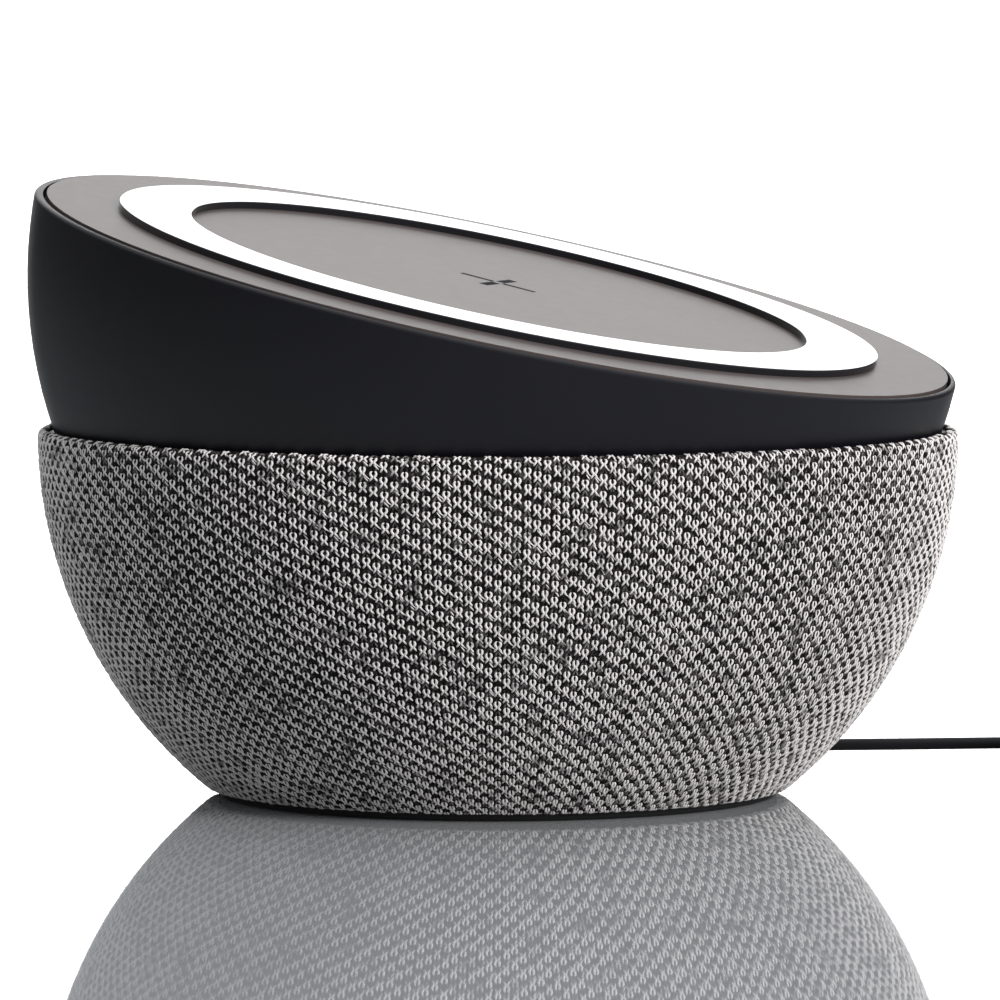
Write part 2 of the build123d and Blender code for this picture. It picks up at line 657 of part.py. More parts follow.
def mark_bars(plane):
    """A sketch of the plus sign's four bars, which leave its centre open."""
    bar = MARK_REACH - MARK_GAP
    with BuildSketch(plane) as bars:
        with PolarLocations(MARK_GAP + bar / 2, 4):
            Rectangle(bar, MARK_WIDTH)
    return bars.sketch


with BuildPart() as face_plate:
    with BuildSketch(FACE):
        Circle(PLATE_R)
    extrude(amount=-PLATE_THICK)
    with BuildSketch(FACE):
        Circle(RING_OUTER_R)
        Circle(RING_INNER_R, mode=Mode.SUBTRACT)
    extrude(amount=-RING_SEAT, mode=Mode.SUBTRACT)
    extrude(mark_bars(FACE), amount=-MARK_DEPTH, mode=Mode.SUBTRACT)
    extrude(
        ring_of_circles(FACE.offset(-PLATE_THICK), *CARRIER_SCREWS, CARRIER_BOSS_R),
        amount=PLATE_THICK - CARRIER_DEPTH,
    )
    extrude(
        ring_of_circles(FACE.offset(-CARRIER_DEPTH), *CARRIER_SCREWS, SMALL_SHANK_R),
        amount=2.6,
        mode=Mode.SUBTRACT,
    )
save(face_plate.part, "face_plate")

with BuildPart() as grip_ring:
    with BuildSketch(FACE.offset(-RING_SEAT)):
        Circle(RING_OUTER_R)
        Circle(RING_INNER_R, mode=Mode.SUBTRACT)
    extrude(amount=RING_SEAT + RING_HEIGHT)
    ring_top = grip_ring.faces().filter_by(GeomType.PLANE).sort_by(Axis(FACE.origin, FACE.z_dir))[-1]
    fillet(ring_top.edges(), radius=0.2)
save(grip_ring.part, "grip_ring")

with BuildPart() as target_mark:
    extrude(mark_bars(FACE), amount=-MARK_DEPTH)
save(target_mark.part, "target_mark")

# ---- wireless charger under the plate ----
with BuildPart() as charging_coil:
    with BuildSketch(FACE.offset(-COIL_DEPTH)):
        Circle(COIL_OUTER_R)
        Circle(COIL_INNER_R, mode=Mode.SUBTRACT)
    extrude(amount=-COIL_THICK)
save(charging_coil.part, "charging_coil")

with BuildPart() as ferrite_sheet:
    with BuildSketch(FACE.offset(-FERRITE_DEPTH)):
        Circle(FERRITE_R)
    extrude(amount=-FERRITE_THICK)
save(ferrite_sheet.part, "ferrite_sheet")

COIL_BOARD_SIZE = (44.0, 32.0)
COIL_BOARD_SCREW_SPACING = (36.0, 25.0)
COIL_BOARD_DEPTH = TRAY_BOTTOM + 1.9
COIL_BOARD_BOTTOM = COIL_BOARD_DEPTH + BOARD_THICK


def board_screw_circles(plane, radius):
    """A sketch of circles at the coil board's four screws."""
    with BuildSketch(plane) as circles:
        with GridLocations(*COIL_BOARD_SCREW_SPACING, 2, 2):
            Circle(radius)
    return circles.sketch


with BuildPart() as coil_carrier:
    with BuildSketch(FACE.offset(-CARRIER_DEPTH)):
        Circle(CARRIER_R)
    extrude(amount=-CARRIER_THICK)
    extrude(
        ring_of_circles(FACE.offset(-CARRIER_DEPTH), *CARRIER_SCREWS, CARRIER_BOSS_R + 0.6),
        amount=-CARRIER_THICK,
    )
    with BuildSketch(FACE.offset(-CARRIER_DEPTH)):
        Circle(CARRIER_R)
        Circle(CARRIER_RIM_R, mode=Mode.SUBTRACT)
    extrude(amount=CARRIER_DEPTH - PLATE_THICK)
    extrude(board_screw_circles(FACE.offset(-TRAY_BOTTOM), 2.2), amount=TRAY_BOTTOM - COIL_BOARD_DEPTH)
    extrude(
        ring_of_circles(FACE.offset(-CARRIER_DEPTH), *CARRIER_SCREWS, SMALL_SHANK_R + HOLE_GAP),
        amount=-CARRIER_THICK,
        mode=Mode.SUBTRACT,
    )
    extrude(
        board_screw_circles(FACE.offset(-COIL_BOARD_DEPTH), SMALL_SHANK_R),
        amount=2.8,
        mode=Mode.SUBTRACT,
    )
save(coil_carrier.part, "coil_carrier")

with BuildPart() as coil_board:
    with BuildSketch(FACE.offset(-COIL_BOARD_DEPTH)):
        RectangleRounded(*COIL_BOARD_SIZE, radius=2.0)
    extrude(amount=-BOARD_THICK)
    extrude(
        board_screw_circles(FACE.offset(-COIL_BOARD_DEPTH), SMALL_SHANK_R + HOLE_GAP),
        amount=-BOARD_THICK,
        mode=Mode.SUBTRACT,
    )
save(coil_board.part, "coil_board")

with BuildPart() as carrier_screws:
    extrude(ring_of_circles(FACE.offset(-TRAY_BOTTOM), *CARRIER_SCREWS, SMALL_HEAD_R), amount=-SMALL_HEAD_H)
    extrude(ring_of_circles(FACE.offset(-TRAY_BOTTOM), *CARRIER_SCREWS, SMALL_SHANK_R), amount=3.8)
    extrude(board_screw_circles(FACE.offset(-COIL_BOARD_BOTTOM), SMALL_HEAD_R), amount=-SMALL_HEAD_H)
    extrude(board_screw_circles(FACE.offset(-COIL_BOARD_BOTTOM), SMALL_SHANK_R), amount=3.6)
save(carrier_screws.part, "carrier_screws")

# The header sits where the vertical axis crosses the board's underside.
PAD_HEADER_H = 3.0
PAD_HEADER_DEPTH = COIL_BOARD_BOTTOM + PAD_HEADER_H
PAD_HEADER_X = PAD_HEADER_DEPTH * tan(TILT)
COIL_CHIPS = [(-12, 6, 8, 8, 1.2), (-9, -8, 6, 5, 1.0), (13, 4, 5, 7, 1.4), (PAD_HEADER_X, 0, 6, 6, PAD_HEADER_H)]
with BuildPart() as coil_board_parts:
    for chip_x, chip_y, chip_w, chip_l, chip_h in COIL_CHIPS:
        with BuildSketch(FACE.offset(-COIL_BOARD_BOTTOM)):
            with Locations((chip_x, chip_y)):
                Rectangle(chip_w, chip_l)
        extrude(amount=-chip_h)
save(coil_board_parts.part, "coil_board_parts")

LEAD_TOP_Z = FACE_Z - PAD_HEADER_DEPTH / cos(TILT) - WIRE_R * tan(TILT)
with BuildPart() as charge_lead_upper:
    with BuildSketch(Plane.XY.offset(LEAD_JOIN_Z)):
        Circle(WIRE_R)
    extrude(amount=LEAD_TOP_Z - LEAD_JOIN_Z)
save(charge_lead_upper.part, "charge_lead_upper")

# ---- power lead: gland, tube, stored coil and plug ----
GLAND_INNER = -5.0  # distances along the gland's axis
GLAND_COLLAR = 3.7
GLAND_TAPER = 4.7
GLAND_TIP = 12.5
GLAND_BODY_R = 2.7
GLAND_TIP_R = 1.3
LEAD_R = LEAD_D / 2

with BuildPart() as lead_gland:
    with BuildSketch(GLAND.offset(GLAND_INNER)):
        Circle(3.6)
    extrude(amount=1.0)
    with BuildSketch(GLAND.offset(GLAND_INNER)):
        Circle(GLAND_BODY_R)
    extrude(amount=GLAND_COLLAR - GLAND_INNER)
    with BuildSketch(GLAND.offset(GLAND_COLLAR)):
        Circle(3.1)
    extrude(amount=GLAND_TAPER - GLAND_COLLAR)
    with BuildSketch(GLAND.offset(GLAND_TAPER)):
        Circle(2.3)
    with BuildSketch(GLAND.offset(GLAND_TIP)):
        Circle(GLAND_TIP_R)
    loft()
save(lead_gland.part, "lead_gland")

INNER_WIRE_LENGTH = 10.6
with BuildPart() as inner_power_wire:
    with BuildSketch(GLAND.offset(GLAND_INNER)):
        Circle(LEAD_R)
    extrude(amount=-INNER_WIRE_LENGTH)
save(inner_power_wire.part, "inner_power_wire")

FLOOR_REST_Z = LEAD_R
LEAD_ROUTE = [  # starts at the gland's tip, in line with it
    (30.873, 53.473, 3.225),
    (33.93, 58.768, 1.002),
    (40.2, 64.4, FLOOR_REST_Z),
    (50.4, 67.2, FLOOR_REST_Z),
    (66.0, 68.6, FLOOR_REST_Z),
    (83.5, 70.9, FLOOR_REST_Z),
    (97.0, 71.9, FLOOR_REST_Z),
    (103.0, 71.6, FLOOR_REST_Z + 0.4),
]
COIL_CENTRE = (103.0, 56.0)
COIL_RING_R = 12.0
COIL_HALF_WIDTH = 5.0
COIL_LIFT = 0.4  # the tie under the turns
COIL_HEIGHT = 8.4
TAIL_ROUTE = [
    (119.0, 56.0, 5.5),
    (119.3, 50.5, 4.9),
    (118.8, 45.2, 3.6),
    (118.8, 40.5, 3.5),
]


def corner_radii(route):
    """The largest arcs that a route's corners take: 0.45 of the shorter run over tan(half the turn)."""
    points = [Vector(*p) for p in route]
    runs = [b - a for a, b in zip(points, points[1:])]
    radii = []
    for before, after in zip(runs, runs[1:]):
        half_turn = radians(before.get_angle(after)) / 2
        radii.append(0.45 * min(before.length, after.length) / tan(half_turn))
    return radii


def lead_tube(route, label):
    """A round tube along a route of straight runs joined by tangent arcs."""
    radii = corner_radii(route)
    with BuildLine() as path:
        FilletPolyline(*route, radius=radii)
    centreline = path.wire()
    start = Plane(origin=centreline @ 0, z_dir=centreline % 0)
    with BuildSketch(start) as section:
        Circle(LEAD_R)
    with BuildPart() as tube:
        sweep(section.sketch, path=centreline)
    expected = pi * LEAD_R**2 * centreline.length
    print(label, "radii", [round(r, 1) for r in radii], "length", round(centreline.length, 1))
    print(label, "volume over section times length", round(tube.part.volume / expected, 4))
    save(tube.part, label)


lead_tube(LEAD_ROUTE, "power_lead")
lead_tube(TAIL_ROUTE, "lead_tail")

COIL_AXIS = Axis((*COIL_CENTRE, 0), (0, 0, 1))
COIL_SECTION = Plane(origin=(*COIL_CENTRE, 0), x_dir=(1, 0, 0), z_dir=(0, -1, 0))
with BuildPart() as lead_coil:
    with BuildSketch(COIL_SECTION):
        with Locations((COIL_RING_R, COIL_LIFT + COIL_HEIGHT / 2)):
            RectangleRounded(2 * COIL_HALF_WIDTH, COIL_HEIGHT, radius=2.0)
    revolve(axis=COIL_AXIS)
save(lead_coil.part, "lead_coil")

TIE_ARC = 28.0
with BuildPart() as coil_tie:
    with BuildSketch(COIL_SECTION):
        with Locations((COIL_RING_R, COIL_LIFT + COIL_HEIGHT / 2)):
            RectangleRounded(
                2 * (COIL_HALF_WIDTH + COIL_LIFT), COIL_HEIGHT + 2 * COIL_LIFT, radius=2.4
            )
            RectangleRounded(2 * COIL_HALF_WIDTH, COIL_HEIGHT, radius=2.0, mode=Mode.SUBTRACT)
    revolve(axis=COIL_AXIS, revolution_arc=TIE_ARC)
save(coil_tie.part, "coil_tie")

PLUG_X = TAIL_ROUTE[-1][0]
PLUG_Z = TAIL_ROUTE[-1][2]
PLUG_RELIEF_Y = TAIL_ROUTE[-1][1]
PLUG_RELIEF_LENGTH = 5.0
PLUG_BODY_SIZE = (14.0, 17.0, 7.0)
PLUG_SHELL_SIZE = (12.0, 12.0, 4.5)
PLUG_SHELL_WALL = 0.4
PLUG_BODY_Y = PLUG_RELIEF_Y - PLUG_RELIEF_LENGTH
PLUG_SHELL_Y = PLUG_BODY_Y - PLUG_BODY_SIZE[1]
with BuildPart() as plug_body:
    with Locations((PLUG_X, PLUG_BODY_Y - PLUG_BODY_SIZE[1] / 2, PLUG_Z)):
        Box(*PLUG_BODY_SIZE)
    fillet(plug_body.edges().filter_by(Axis.Y), radius=2.0)
    with BuildSketch(Plane(origin=(PLUG_X, PLUG_BODY_Y, PLUG_Z), z_dir=(0, 1, 0))):
        Circle(2.2)
    with BuildSketch(Plane(origin=(PLUG_X, PLUG_RELIEF_Y, PLUG_Z), z_dir=(0, 1, 0))):
        Circle(GLAND_TIP_R)
    loft()
save(plug_body.part, "plug_body")

with BuildPart() as plug_shell:
    with Locations((PLUG_X, PLUG_SHELL_Y - PLUG_SHELL_SIZE[1] / 2, PLUG_Z)):
        Box(*PLUG_SHELL_SIZE)
    offset(amount=-PLUG_SHELL_WALL, openings=plug_shell.faces().sort_by(Axis.Y)[0])
save(plug_shell.part, "plug_shell")

TONGUE_SIZE = (10.8, 10.8, 1.6)
TONGUE_Z = PLUG_Z - 1.0
with BuildPart() as plug_tongue:
    with Locations((PLUG_X, PLUG_SHELL_Y - PLUG_SHELL_WALL - TONGUE_SIZE[1] / 2, TONGUE_Z)):
        Box(*TONGUE_SIZE)
save(plug_tongue.part, "plug_tongue")
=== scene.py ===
"""Smart home hub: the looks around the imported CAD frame. Lengths are in metres where nothing says mm."""

import json
import math

import bpy
import numpy as np
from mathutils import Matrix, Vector


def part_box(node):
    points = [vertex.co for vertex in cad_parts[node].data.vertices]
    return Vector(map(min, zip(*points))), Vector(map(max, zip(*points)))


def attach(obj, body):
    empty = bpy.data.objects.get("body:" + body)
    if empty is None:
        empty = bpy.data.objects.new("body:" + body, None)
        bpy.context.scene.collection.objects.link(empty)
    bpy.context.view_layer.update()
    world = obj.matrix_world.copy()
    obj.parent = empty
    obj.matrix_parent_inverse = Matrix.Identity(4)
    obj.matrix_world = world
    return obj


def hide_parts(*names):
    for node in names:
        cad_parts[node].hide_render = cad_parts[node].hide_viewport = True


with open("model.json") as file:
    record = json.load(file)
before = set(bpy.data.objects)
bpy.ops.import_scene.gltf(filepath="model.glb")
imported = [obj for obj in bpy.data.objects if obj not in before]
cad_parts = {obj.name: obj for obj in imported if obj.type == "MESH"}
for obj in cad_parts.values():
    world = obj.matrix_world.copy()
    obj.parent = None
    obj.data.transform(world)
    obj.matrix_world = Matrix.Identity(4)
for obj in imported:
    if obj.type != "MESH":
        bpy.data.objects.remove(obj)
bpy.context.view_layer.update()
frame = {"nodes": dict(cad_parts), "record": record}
nodes = frame["nodes"]
subparts = frame["record"]["subparts"]
slot_of_node = {part["node"]: part["material_slot"] for part in subparts}
MM = 0.001


# ---- camera ----
CAMERA_SIDE = 0.0003
CAMERA_DISTANCE = 1.413
CAMERA_HEIGHT = 0.1448
CAMERA_PITCH_DOWN = math.radians(3.99)
LENS_MM = 324.0
SENSOR_MM = 36.0

camera_data = bpy.data.cameras.new("camera")
camera_data.lens = LENS_MM
camera_data.sensor_width = SENSOR_MM
camera_data.clip_end = 50.0
camera = bpy.data.objects.new("camera", camera_data)
camera.location = (CAMERA_SIDE, -CAMERA_DISTANCE, CAMERA_HEIGHT)
camera.rotation_euler = (math.pi / 2 - CAMERA_PITCH_DOWN, 0.0, 0.0)
bpy.context.collection.objects.link(camera)
bpy.context.scene.camera = camera
bpy.context.scene.view_settings.view_transform = "Standard"


# ---- power lead ----
LEAD_DIAMETER = 0.002
LEAD_ROUTE = [
    (0.030873, 0.053473, 0.003225),
    (0.03393, 0.058768, 0.001002),
    (0.0402, 0.0644, 0.001),
    (0.0504, 0.0672, 0.001),
    (0.066, 0.0686, 0.001),
    (0.0835, 0.0709, 0.001),
    (0.097, 0.0719, 0.001),
    (0.103, 0.0716, 0.0014),
]
TAIL_ROUTE = [
    (0.119, 0.056, 0.0055),
    (0.1193, 0.0505, 0.0049),
    (0.1188, 0.0452, 0.0036),
    (0.1188, 0.0405, 0.0035),
]
COIL_CENTRE = (0.103, 0.056)
COIL_RING_RADIUS = 0.012
COIL_COLUMNS = 5
TURN_SPACING = 0.00205
FIRST_LAYER_HEIGHT = 0.0014
POINTS_PER_TURN = 16
STEP_POINTS = 4  # the points over which a turn steps to the next place in the bundle
STEP_BULGE = 0.0007


def coil_places():
    """The (column, layer) of each turn: in along the floor, out above it, in again and out along the top."""
    inward = list(range(COIL_COLUMNS))
    outward = inward[::-1]
    places = [(column, 0) for column in inward] + [(column, 1) for column in outward]
    places += [(column, 2) for column in inward[1:]] + [(column, 3) for column in outward[:-1]]
    return places + [(0, 2)]


def place_radius_height(place):
    column, layer = place
    radius = COIL_RING_RADIUS + ((COIL_COLUMNS - 1) / 2 - column) * TURN_SPACING
    return radius, FIRST_LAYER_HEIGHT + layer * TURN_SPACING


def coil_points():
    """Control points of the wound turns, clockwise from the +Y side to the +X side."""
    step_angle = 2 * math.pi / POINTS_PER_TURN
    reach = 4 / (3 + math.cos(step_angle))  # a quadratic spline runs inside its control points
    places = coil_places()
    quarter = POINTS_PER_TURN // 4
    points = []
    for turn, place in enumerate(places):
        last = turn == len(places) - 1
        radius, height = place_radius_height(place)
        next_radius, next_height = place_radius_height(places[min(turn + 1, len(places) - 1)])
        for index in range(quarter if last else POINTS_PER_TURN):
            if turn == 0 and index == 0:
                continue  # the lead's own last point stands here
            share = max(0.0, (index - POINTS_PER_TURN + STEP_POINTS) / STEP_POINTS)
            share = share * share * (3 - 2 * share)
            bulge = 0.0
            if abs(next_radius - radius) < 1e-9:
                side = 1 if radius > COIL_RING_RADIUS else -1
                bulge = side * STEP_BULGE * math.sin(math.pi * share)
            here = (radius + (next_radius - radius) * share + bulge) * reach
            angle = math.pi / 2 - index * step_angle
            x = COIL_CENTRE[0] + here * math.cos(angle)
            y = COIL_CENTRE[1] + here * math.sin(angle)
            points.append((x, y, height + (next_height - height) * share))
    return points


def nurbs_tube(name, points, diameter):
    """One smooth NURBS tube with those control points."""
    curve = bpy.data.curves.new(name, "CURVE")
    curve.dimensions = "3D"
    curve.bevel_depth = 1.0  # times each point's radius
    curve.bevel_resolution = 3
    curve.use_fill_caps = True
    spline = curve.splines.new("NURBS")
    spline.points.add(len(points) - 1)
    for point, place in zip(spline.points, points):
        point.co = (*place, 1.0)
        point.radius = diameter / 2
    spline.order_u = 3
    spline.use_endpoint_u = True
    spline.resolution_u = 4
    tube = bpy.data.objects.new(name, curve)
    bpy.context.collection.objects.link(tube)
    return tube


power_lead = nurbs_tube("power_lead_cable", LEAD_ROUTE + coil_points() + TAIL_ROUTE, LEAD_DIAMETER)
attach(power_lead, "base")
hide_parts("power_lead", "lead_coil", "lead_tail")


# ---- materials ----
NOISE_LOW, NOISE_HIGH = 0.3, 0.7  # most of a noise texture's values lie between these
MOULDED_GLOSS_DRIFT = 0.01
METAL_GLOSS_DRIFT = 0.08
METAL_DARK_LINES = 0.82  # of the metal's own colour


def new_material(name, base, roughness, metallic=0.0, specular=0.5):
    """A Principled material, its node tree and its shader."""
    material = bpy.data.materials.new(name)
    material.use_nodes = True
    tree = material.node_tree
    shader = tree.nodes["Principled BSDF"]
    shader.inputs["Base Color"].default_value = (*base, 1.0)
    shader.inputs["Roughness"].default_value = roughness
    shader.inputs["Metallic"].default_value = metallic
    shader.inputs["Specular IOR Level"].default_value = specular
    material.diffuse_color = (*base, 1.0)
    return material, tree, shader


def stretched_coordinates(tree, stretch=(1.0, 1.0, 1.0)):
    """Object coordinates, times a factor along each axis."""
    coordinates = tree.nodes.new("ShaderNodeTexCoord")
    mapping = tree.nodes.new("ShaderNodeMapping")
    mapping.inputs["Scale"].default_value = stretch
    tree.links.new(coordinates.outputs["Object"], mapping.inputs["Vector"])
    return mapping.outputs["Vector"]


def noise(tree, scale, detail=3.0, stretch=(1.0, 1.0, 1.0), roughness=0.5):
    """A noise texture of that many features per metre."""
    texture = tree.nodes.new("ShaderNodeTexNoise")
    texture.inputs["Scale"].default_value = scale
    texture.inputs["Detail"].default_value = detail
    texture.inputs["Roughness"].default_value = roughness
    tree.links.new(stretched_coordinates(tree, stretch), texture.inputs["Vector"])
    return texture.outputs["Fac"]


def remap(tree, value, low, high, out_low, out_high):
    """The value's range from low to high spread over out_low to out_high, held at the ends."""
    node = tree.nodes.new("ShaderNodeMapRange")
    node.inputs["From Min"].default_value = low
    node.inputs["From Max"].default_value = high
    node.inputs["To Min"].default_value = out_low
    node.inputs["To Max"].default_value = out_high
    tree.links.new(value, node.inputs["Value"])
    return node.outputs["Result"]


def two_colours(tree, factor, first, second):
    """A mix of two colours by a factor output."""
    node = tree.nodes.new("ShaderNodeMix")
    node.data_type = "RGBA"
    node.inputs["A"].default_value = (*first, 1.0)
    node.inputs["B"].default_value = (*second, 1.0)
    tree.links.new(factor, node.inputs["Factor"])
    return node.outputs["Result"]


def bump(tree, shader, height, distance):
    """Bumps of up to that distance in metres on the shader's normal."""
    node = tree.nodes.new("ShaderNodeBump")
    node.inputs["Distance"].default_value = distance
    tree.links.new(height, node.inputs["Height"])
    tree.links.new(node.outputs["Normal"], shader.inputs["Normal"])


def drift_gloss(tree, shader, value, roughness, drift):
    """Roughness that follows a noise output, up to that far from its usual value."""
    gloss = remap(tree, value, NOISE_LOW, NOISE_HIGH, roughness - drift, roughness + drift)
    tree.links.new(gloss, shader.inputs["Roughness"])


def moulded(name, base, roughness, grain_mm=0.25, grain_depth_mm=0.008, tone=0.12, specular=0.5):
    """Moulded plastic or rubber: a fine spark-eroded grain, and a faint drift in tone and gloss."""
    material, tree, shader = new_material(name, base, roughness, specular=specular)
    drift = noise(tree, scale=60.0, detail=4.0)
    darker = tuple(c * (1 - tone) for c in base)
    lighter = tuple(c * (1 + tone) for c in base)
    tree.links.new(two_colours(tree, drift, darker, lighter), shader.inputs["Base Color"])
    drift_gloss(tree, shader, noise(tree, scale=400.0, detail=5.0), roughness, MOULDED_GLOSS_DRIFT)
    bump(tree, shader, noise(tree, scale=1 / (grain_mm * MM), detail=2.0), grain_depth_mm * MM)
    return material


def metal(name, base, roughness, brush=(1.0, 1.0, 8.0)):
    """Metal with a drawn grain across the axis that brush multiplies."""
    material, tree, shader = new_material(name, base, roughness, metallic=1.0)
    lines = noise(tree, scale=900.0, stretch=brush)
    darker = tuple(c * METAL_DARK_LINES for c in base)
    tree.links.new(two_colours(tree, lines, darker, base), shader.inputs["Base Color"])
    drift_gloss(tree, shader, lines, roughness, METAL_GLOSS_DRIFT)
    bump(tree, shader, lines, 0.004 * MM)
    return material


def ring_gloss():
    """Polished black ring that mirrors the room at a low angle."""
    material, tree, shader = new_material("ring_gloss", (0.008, 0.008, 0.01), 0.07)
    drift_gloss(tree, shader, noise(tree, scale=250.0, detail=4.0), roughness=0.075, drift=0.025)
    tone = two_colours(tree, noise(tree, scale=90.0), (0.006, 0.006, 0.008), (0.01, 0.01, 0.013))
    tree.links.new(tone, shader.inputs["Base Color"])
    return material


def circuit_board():
    """Green solder mask over copper tracks."""
    material, tree, shader = new_material("board_green", (0.01, 0.09, 0.03), 0.35)
    bricks = tree.nodes.new("ShaderNodeTexBrick")
    bricks.inputs["Scale"].default_value = 220.0
    bricks.inputs["Mortar Size"].default_value = 0.03
    bricks.inputs["Color1"].default_value = (0.008, 0.075, 0.025, 1.0)
    bricks.inputs["Color2"].default_value = (0.012, 0.1, 0.035, 1.0)
    bricks.inputs["Mortar"].default_value = (0.03, 0.17, 0.06, 1.0)
    tree.links.new(stretched_coordinates(tree), bricks.inputs["Vector"])
    tree.links.new(bricks.outputs["Color"], shader.inputs["Base Color"])
    bump(tree, shader, bricks.outputs["Fac"], 0.02 * MM)
    return material


def woven_tie():
    """The black hook-and-loop tie round the coil."""
    material, tree, shader = new_material("tie_fabric", (0.02, 0.02, 0.022), 0.9)
    weave = tree.nodes.new("ShaderNodeTexChecker")
    weave.inputs["Scale"].default_value = 2200.0
    weave.inputs["Color1"].default_value = (0.012, 0.012, 0.014, 1.0)
    weave.inputs["Color2"].default_value = (0.04, 0.04, 0.044, 1.0)
    tree.links.new(stretched_coordinates(tree), weave.inputs["Vector"])
    tree.links.new(weave.outputs["Color"], shader.inputs["Base Color"])
    bump(tree, shader, weave.outputs["Fac"], 0.06 * MM)
    return material


MATERIALS = {
    "drum_plastic": moulded("drum_plastic", (0.0035, 0.0033, 0.0058), 0.45, grain_mm=0.2, specular=0.4),
    "face_plastic": moulded(
        "face_plastic", (0.08, 0.0635, 0.06), 0.45, grain_mm=0.22, grain_depth_mm=0.01, tone=0.03
    ),
    "ring_gloss": ring_gloss(),
    "mark_ink": moulded("mark_ink", (0.016, 0.017, 0.019), 0.9, specular=0.08),
    "structure_plastic": moulded("structure_plastic", (0.02, 0.02, 0.022), 0.5, grain_mm=0.4),
    "glide_plastic": moulded("glide_plastic", (0.6, 0.6, 0.57), 0.3, grain_mm=0.5, tone=0.04),
    "foot_rubber": moulded("foot_rubber", (0.014, 0.014, 0.015), 0.65, grain_mm=0.3, grain_depth_mm=0.015),
    "steel": metal("steel", (0.55, 0.56, 0.58), 0.32),
    "weight_steel": metal("weight_steel", (0.38, 0.39, 0.41), 0.45, brush=(1.0, 6.0, 1.0)),
    "copper": metal("copper", (0.85, 0.4, 0.2), 0.28, brush=(1.0, 1.0, 14.0)),
    "board_green": circuit_board(),
    "chip_black": moulded("chip_black", (0.02, 0.02, 0.021), 0.45, grain_mm=0.3),
    "cone_paper": moulded("cone_paper", (0.03, 0.028, 0.026), 0.85, grain_mm=0.5, grain_depth_mm=0.04),
    "surround_rubber": moulded("surround_rubber", (0.015, 0.015, 0.015), 0.55),
    "magnet_ferrite": moulded("magnet_ferrite", (0.05, 0.05, 0.052), 0.6, grain_mm=0.6, grain_depth_mm=0.03),
    "lead_jacket": moulded(
        "lead_jacket", (0.006, 0.006, 0.007), 0.42, grain_mm=0.35, grain_depth_mm=0.004, specular=0.25
    ),
    "tie_fabric": woven_tie(),
    "plug_metal": metal("plug_metal", (0.75, 0.75, 0.74), 0.22, brush=(1.0, 10.0, 1.0)),
}


def give_material(piece, material):
    """That material in every slot of the piece."""
    if not piece.data.materials:
        piece.data.materials.append(material)
    for slot in piece.material_slots:
        slot.material = material


for node_name, node_object in nodes.items():
    if slot_of_node[node_name] in MATERIALS:
        give_material(node_object, MATERIALS[slot_of_node[node_name]])
give_material(power_lead, MATERIALS["lead_jacket"])
power_lead.visible_glossy = False  # the lead has no mirror image in the floor


# ---- knitted sleeve ----
# Lengths here are in mm until a mesh is made. A place on the cloth is an angle round the bowl from the front,
# and a length along the outside from the bowl's lower edge.
sleeve_low, sleeve_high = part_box("fabric_sleeve")
foot_low, foot_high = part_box("foot_pad")
BOWL_RADIUS = (sleeve_high[0] - sleeve_low[0]) / 2 / MM
SLEEVE_BOTTOM = sleeve_low[2] / MM
SLEEVE_TOP = sleeve_high[2] / MM
BOWL_CENTRE_HEIGHT = SLEEVE_TOP - 0.5
FOOT_RADIUS = (foot_high[0] - foot_low[0]) / 2 / MM
HEM_RADIUS = FOOT_RADIUS + 0.2
HEM_ROLL = 0.6  # radius of the cloth's turn under the bowl
HEM_POINTS = 8
TOP_ROLL = 1.3  # radius of the cloth's turn over the rim
TOP_LIP = 0.5  # the flat of the rim, inside its turn
LINING_RADIUS = BOWL_RADIUS - 1.2
LINING_START = 2.2  # below the top of the sleeve
LINING_START_ANGLE = -0.02
LIP_THICKNESS = 0.7
YARN_HALF_WIDTH = 0.17
YARN_HALF_THICKNESS = 0.13
CLOTH_DEPTH = 0.26  # how far the plain ground of the cloth lies under the sleeve's outside


def arc_points(centre, radius, start, end, count):
    """Points of a circular arc in the (radius, height) plane. Angles are from level, outward."""
    angles = np.linspace(start, end, count)
    return np.column_stack([centre[0] + radius * np.cos(angles), centre[1] + radius * np.sin(angles)])


def sleeve_outline(depth):
    """The sleeve's section, that deep under its outside, from the hem under the bowl to the rim's lip."""
    radius = BOWL_RADIUS - depth
    low_angle = math.asin((SLEEVE_BOTTOM + depth + HEM_ROLL - BOWL_CENTRE_HEIGHT) / (radius - HEM_ROLL))
    hem = (radius - HEM_ROLL) * np.array([math.cos(low_angle), math.sin(low_angle)])
    hem_centre = hem + (0.0, BOWL_CENTRE_HEIGHT)
    roll = TOP_ROLL - depth
    roll_height = SLEEVE_TOP - TOP_ROLL
    top_angle = math.asin((roll_height - BOWL_CENTRE_HEIGHT) / radius)
    roll_centre = (radius * math.cos(top_angle) - roll, roll_height)
    return np.vstack(
        [
            [(HEM_RADIUS, hem_centre[1] - HEM_ROLL)],
            arc_points(hem_centre, HEM_ROLL, -math.pi / 2, low_angle, count=HEM_POINTS),
            arc_points((0.0, BOWL_CENTRE_HEIGHT), radius, low_angle, top_angle, count=60)[1:],
            arc_points(roll_centre, roll, 0.0, math.pi / 2, count=8)[1:],
            [(roll_centre[0] - TOP_LIP, roll_height + roll)],
        ]
    )


def lengths_along(outline):
    """Each point's length along the outline, which is 0 at the bowl's lower edge."""
    steps = np.linalg.norm(np.diff(outline, axis=0), axis=1)
    along = np.concatenate([[0.0], np.cumsum(steps)])
    return along - along[HEM_POINTS]


